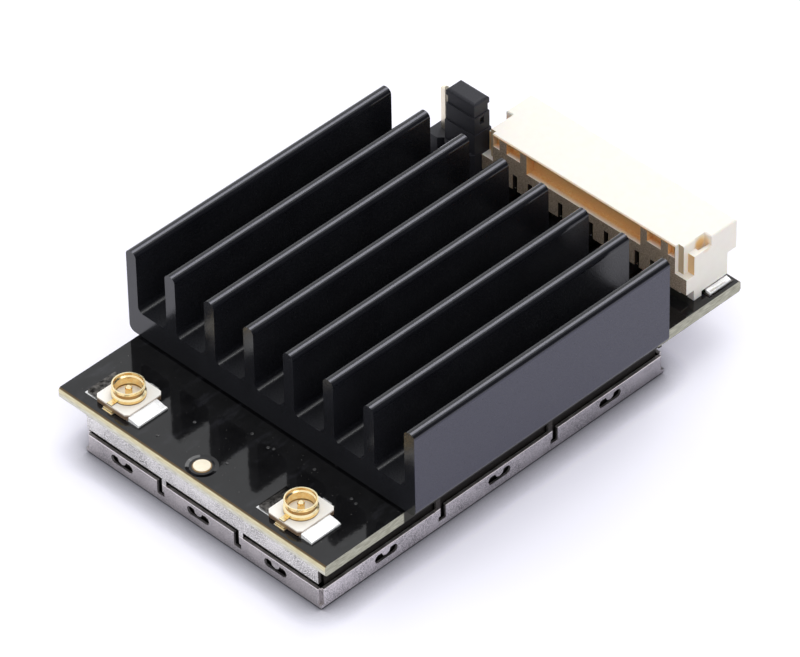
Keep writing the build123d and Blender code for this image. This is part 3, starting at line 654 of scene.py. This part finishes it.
# Tented vias
# Small plated holes closed by the solder mask, each left as a low dome with a dimple
# that catches the light. They lie between the receptacles and along the heatsink.
via_radius = 0.11 * mm
via_height = 0.05 * mm
via_middle = board_top + 0.005 * mm
rim_width, dome_rise = 0.04 * mm, 0.012 * mm
dimple_width, dimple_depth = 0.03 * mm, 0.02 * mm
via_black = ((0.008, 0.008, 0.009), (0.045, 0.045, 0.045))
via_places = ((-3.97, -16.24), (-3.25, -13.98), (0.61, -15.12), (-0.14, -12.37))
via_places += ((1.70, -12.43), (1.37, -12.57), (4.62, -12.03), (8.39, -12.43), (7.92, -12.32))

bpy.ops.object.select_all(action="DESELECT")
bpy.ops.mesh.primitive_cylinder_add(
    vertices=16, radius=via_radius, depth=via_height, location=(0, 0, via_middle)
)
via = bpy.context.object
bpy.ops.object.transform_apply(location=True, rotation=True, scale=True)
bpy.ops.object.mode_set(mode="EDIT")
select_points(via, lambda p: p.z > board_top)
bpy.ops.mesh.inset(thickness=rim_width, depth=dome_rise)
bpy.ops.mesh.inset(thickness=dimple_width, depth=-dimple_depth)
bpy.ops.object.mode_set(mode="OBJECT")
bpy.ops.object.shade_smooth_by_angle(angle=math.radians(50))
vias = []
for x, y in via_places:
    one = via.copy()
    one.data = via.data.copy()
    one.location = (x * mm, y * mm, 0)
    bpy.context.scene.collection.objects.link(one)
    vias.append(one)
bpy.data.objects.remove(via)
bpy.ops.object.select_all(action="DESELECT")
for one in vias:
    one.select_set(True)
bpy.context.view_layer.objects.active = vias[0]
bpy.ops.object.join()
vias[0].name = "tented_vias"
dome, tree, shader = new_finish("via_dome", (0.05, 0.05, 0.055), 0.22)
paint(tree, shader, blend(tree, grain(tree, 0.08 * mm), *via_black))
seat(vias[0], dome)

# Wire connector
# A side-entry housing of cream nylon that lets a little light through, with a warm glow painted in
# its pockets. Its tinned contacts and the nails at its ends are soldered to the board.
conn_low, conn_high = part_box("connector_housing")
conn_middle = (conn_low.x + conn_high.x) / 2
conn_half = (conn_high.x - conn_low.x) / 2
nail_low, nail_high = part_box("connector_nails")
cream = ((0.88, 0.83, 0.75), (0.93, 0.89, 0.82))
glow_speckle = ((0.84, 0.38, 0.12), (1.0, 0.68, 0.30))
shade_speckle = ((0.20, 0.15, 0.11), (0.56, 0.45, 0.34))
notch_glow_and_shade = ((0.56, 0.43, 0.27), (0.80, 0.53, 0.26))
cheek_shade = (0.05, 0.04, 0.03)
recess_glow = (0.88, 0.58, 0.24)
notch_width = 0.97 * mm
notch_bend = (0.36 * mm, 0.44 * mm)
wall_thickness = (0.10 * mm, 0.20 * mm)
roof_thickness = (0.16 * mm, 0.10 * mm)
pocket_depth = (0.80 * mm, 0.74 * mm)
foot_top = (1.2 * mm, 1.1 * mm)
sill_front, sill_rear = (0.02 * mm, 0.36 * mm), (0.64 * mm, 0.60 * mm)
sill_drop = (0.20 * mm, 0.30 * mm)
cheek_rear = (0.72 * mm, 0.68 * mm)
cheek_low = (1.75 * mm, 1.65 * mm)
recess_back, recess_drop, recess_inset = 1.72 * mm, 0.60 * mm, 0.46 * mm
recess_reach = (0.62 * mm, 0.26 * mm)
pin_bright = ((0.90, 0.90, 0.89), (0.70, 0.70, 0.69))
pin_shade = (0.03, 0.028, 0.025)
pin_foot = (0.9 * mm, 0.7 * mm)

nylon, tree, shader = new_finish("cream_nylon", (0.87, 0.81, 0.72), 0.42)
sand = grain(tree, 0.07 * mm, detail=2)
behind = calculate(tree, "SUBTRACT", along(tree, "Y"), conn_low.y)
under_top = calculate(tree, "SUBTRACT", conn_high.z, along(tree, "Z"))
over_board = calculate(tree, "SUBTRACT", along(tree, "Z"), board_top)
from_middle = calculate(tree, "SUBTRACT", along(tree, "X"), conn_middle)
from_middle = calculate(tree, "ABSOLUTE", from_middle)
notch_start = conn_half - notch_width
in_notch = spread(tree, from_middle, notch_start - 0.02 * mm, notch_start + 0.02 * mm)
not_in_notch = calculate(tree, "SUBTRACT", 1, in_notch)
inside_wall = spread(tree, behind, *wall_thickness)
colour = blend(tree, grain(tree, 0.5 * mm, detail=4), *cream)

# The walls that face the heatsink: painted shade in front, and a painted warm glow in the pockets
# and notches.
back_wall = mottled(tree, sand, *shade_speckle, 0.35, 0.65)
pocket_wall = mottled(tree, sand, *glow_speckle, 0.35, 0.65)
notch_wall = blend(tree, spread(tree, behind, *notch_bend), *notch_glow_and_shade)
pocket_wall = blend(tree, in_notch, pocket_wall, notch_wall)
warm = blend(tree, inside_wall, back_wall, pocket_wall)
warm = blend(tree, spread(tree, under_top, *roof_thickness), warm, pocket_wall)
to_sink = spread(tree, facing(tree, "Y"), -0.6, -0.9)
low_foot = all_of(tree, spread(tree, over_board, *foot_top), inside_wall)
in_pocket = calculate(tree, "SUBTRACT", spread(tree, behind, *pocket_depth), low_foot)
colour = blend(tree, all_of(tree, to_sink, in_pocket), colour, warm)

# The sills and cheeks of the pockets, with painted glow and painted shade, and the painted glow of
# the two recesses in the end walls.
sill = all_of(
    tree,
    spread(tree, facing(tree, "Z"), 0.6, 0.9),
    spread(tree, behind, *sill_front),
    spread(tree, behind, *sill_rear),
    spread(tree, under_top, *sill_drop),
    not_in_notch,
)
colour = blend(tree, sill, colour, pocket_wall)
to_side = spread(tree, calculate(tree, "ABSOLUTE", facing(tree, "X")), 0.6, 0.9)
cheeks = all_of(tree, to_side, spread(tree, behind, *cheek_rear), not_in_notch)
upper = spread(tree, under_top, *cheek_low)
colour = blend(tree, cheeks, colour, blend(tree, upper, cheek_shade, pocket_wall))
for side in (-1, 1):
    recess = Vector((conn_middle, conn_low.y + recess_back, conn_high.z - recess_drop))
    recess.x += side * (conn_half - recess_inset)
    near_recess = spread(tree, away_from(tree, recess), *recess_reach)
    on_walls = spread(tree, facing(tree, "Z"), 0.9, 0.5)
    colour = blend(tree, all_of(tree, near_recess, on_walls), colour, recess_glow)
paint(tree, shader, colour)
shader.inputs["Subsurface Weight"].default_value = 0.25
shader.inputs["Subsurface Radius"].default_value = (1.0, 0.55, 0.25)
shader.inputs["Subsurface Scale"].default_value = 0.3 * mm
relief(tree, shader, sand, 0.002 * mm, 0.4)
dress(["connector_housing"], nylon)

pins, tree, shader = new_finish("tinned_pins", (0.85, 0.85, 0.84), 0.22, 1.0)
stained = grain(tree, 0.12 * mm, detail=3)
feet = spread(tree, along(tree, "Y"), *(conn_low.y + r for r in pin_foot))
paint(tree, shader, blend(tree, feet, blend(tree, stained, *pin_bright), pin_shade))
relief(tree, shader, stained, 0.004 * mm, 0.4)
dress(["connector_contacts"], pins)
dress(["connector_lands"], dark_solder)
dress(["connector_nails"], tin)

nail_tip, nail_side = 0.04 * mm, 0.10 * mm
nail_height, nail_edge, nail_rounding = 0.27 * mm, 0.16 * mm, 0.09 * mm
front, rear = nail_low.y - nail_side, nail_high.y + nail_side
for side, wall, tip in (("left", conn_low.x, nail_low.x), ("right", conn_high.x, nail_high.x)):
    solder_pool(
        f"nail_solder_{side}",
        low=Vector((min(wall, tip - nail_tip), front, board_top)),
        high=Vector((max(wall, tip + nail_tip), rear, board_top + nail_height)),
        thin_side=1 if side == "right" else -1,
        edge_height=nail_edge,
        rounding=nail_rounding,
        finish=bright_solder,
    )

# Pin header and jumper
# A short row of gold pins in a black moulded body, with a black jumper cap pushed
# over two of them. The spring clip folds inside the cap.
moulded_black = ((0.010, 0.010, 0.013), (0.036, 0.036, 0.045))

black_nylon, tree, shader = new_finish("black_nylon", (0.020, 0.020, 0.024), 0.5)
shader.inputs["Specular IOR Level"].default_value = 0.3
pits = grain(tree, 0.07 * mm, detail=3)
rough = spread(tree, pits, 0.3, 0.7, 0.38, 0.6)
paint(tree, shader, mottled(tree, pits, *moulded_black, 0.3, 0.75), rough)
relief(tree, shader, pits, 0.012 * mm, 0.6)
dress(["header_body", "jumper_cap"], black_nylon)
dress(["header_pins", "jumper_clip"], flat_gold)
dress(["header_joints"], tin)

# Parts inside the can
# Moulded chips, a metal-lidded crystal, ceramic filters and small ceramic two-ended parts,
# all soldered to the underside of the board.
resin_black = ((0.02, 0.02, 0.022), (0.045, 0.045, 0.048))
moulded_chips = ["power_amplifier", "radio_transceiver", "controller_chip", "memory_chip"]
speckled_parts = {
    "reference_crystal": ("crystal_lid", (0.60, 0.59, 0.57), (0.72, 0.71, 0.69), 0.3, 1.0),
    "band_filters": ("filter_ceramic", (0.60, 0.57, 0.51), (0.72, 0.70, 0.65), 0.5, 0.0),
    "power_inductors": ("inductor_core", (0.10, 0.10, 0.11), (0.17, 0.17, 0.18), 0.6, 0.0),
    "chip_capacitors": ("tan_ceramic", (0.36, 0.24, 0.14), (0.50, 0.36, 0.23), 0.45, 0.0),
    "chip_resistors": ("black_ceramic", (0.03, 0.03, 0.035), (0.06, 0.06, 0.065), 0.45, 0.0),
}

resin_and_bevel_highlight, tree, shader = new_finish("chip_resin", (0.028, 0.028, 0.030), 0.6)
sand = grain(tree, 0.06 * mm, detail=3)
paint(tree, shader, blend(tree, sand, *resin_black))
relief(tree, shader, sand, 0.006 * mm, 0.6)
dress([*moulded_chips, "voltage_regulator", "antenna_switches"], resin_and_bevel_highlight)
dress(["chip_ends", "chip_terminals"], tin)

for name, (label, dark, light, rough, metal) in speckled_parts.items():
    speckled, tree, shader = new_finish(label, light, rough, metal)
    speckle = grain(tree, 0.15 * mm, detail=3)
    paint(tree, shader, blend(tree, speckle, dark, light))
    relief(tree, shader, speckle, 0.005 * mm, 0.5)
    dress([name], speckled)
